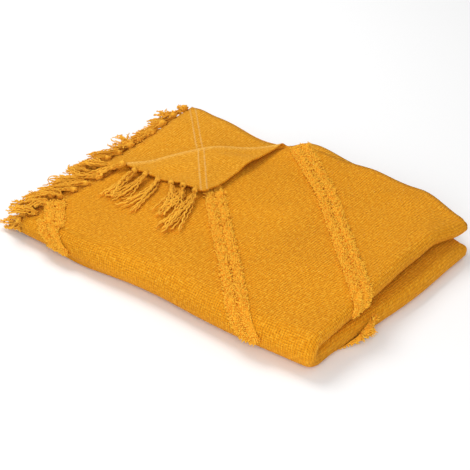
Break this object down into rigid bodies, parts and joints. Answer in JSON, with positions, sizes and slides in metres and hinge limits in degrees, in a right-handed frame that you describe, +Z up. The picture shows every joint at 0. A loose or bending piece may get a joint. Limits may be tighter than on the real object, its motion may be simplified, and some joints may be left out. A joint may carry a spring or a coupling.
{
  "type": "folded throw blanket",
  "caption": "Mustard yellow woven cotton throw with diagonal tufted bands and a tasselled fringe, folded flat with one corner turned over.",
  "frame": {"origin": "bottom centre of the box round the whole part", "axes": "+Z up, +X from the fringed end towards the folded end, +Y from the long front fold towards the open edges"},
  "size_m": [0.515, 0.3502, 0.0544],
  "materials": {
    "woven_cotton": "matte",
    "cotton_reverse": "matte",
    "pile_yarn": "matte",
    "fringe_yarn": "matte"
  },
  "bodies": {
    "stack": {"woven_cloth": "woven_cotton", "tufted_band_left": "pile_yarn", "tufted_band_middle": "pile_yarn", "tufted_band_right": "pile_yarn", "tufted_band_lower": "pile_yarn", "fringe_layer_1": "fringe_yarn", "fringe_layer_2": "fringe_yarn", "fringe_layer_3": "fringe_yarn", "fringe_layer_4": "fringe_yarn", "fringe_layer_5": "fringe_yarn", "fringe_layer_6": "fringe_yarn", "fringe_layer_7": "fringe_yarn", "fringe_layer_8": "fringe_yarn"},
    "corner": {"turned_corner": "cotton_reverse", "corner_tassel_1": "fringe_yarn", "corner_tassel_2": "fringe_yarn", "corner_tassel_3": "fringe_yarn", "corner_tassel_4": "fringe_yarn", "corner_tassel_5": "fringe_yarn", "corner_tassel_6": "fringe_yarn", "corner_tassel_7": "fringe_yarn"}
  },
  "joints": [
    {"name": "corner_fold", "type": "hinge", "parent": "stack", "child": "corner", "pos_m": [-0.094, 0.0776, 0.0486], "axis": [-0.7071, -0.7071, 0], "range_deg": [0, 180]}
  ]
}
